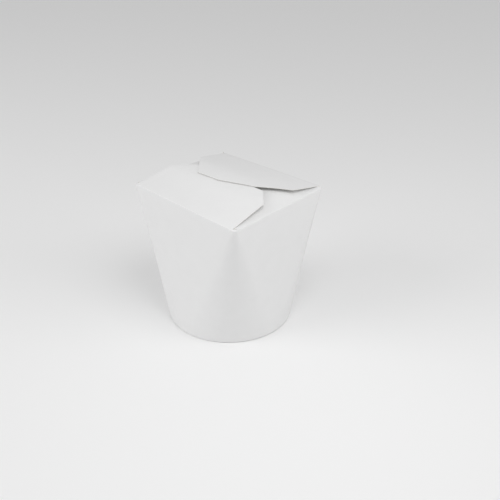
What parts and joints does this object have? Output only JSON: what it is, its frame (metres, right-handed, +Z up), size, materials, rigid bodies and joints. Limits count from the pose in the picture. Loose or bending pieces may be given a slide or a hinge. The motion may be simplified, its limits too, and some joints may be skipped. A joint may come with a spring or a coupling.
{
  "type": "noodle takeaway box",
  "caption": "Closed white paperboard takeaway box: round base, walls that turn four-sided at the top, lid of overlapping folded flaps.",
  "frame": {"origin": "bottom centre, on the plane that the foot rim stands on, at the middle of the round base", "axes": "+Z up; X along the two long flaps' creases; -Y towards the long flap that lies underneath, +Y towards the long flap on top"},
  "size_m": [0.0984, 0.0906, 0.1084],
  "materials": {
    "coated_board": "smooth white coated board, satin outside, matt cut edges",
    "base_board": "plain white board, matt"
  },
  "bodies": {
    "root": {"carton": "coated_board", "base_disc": "base_board"}
  },
  "joints": []
}
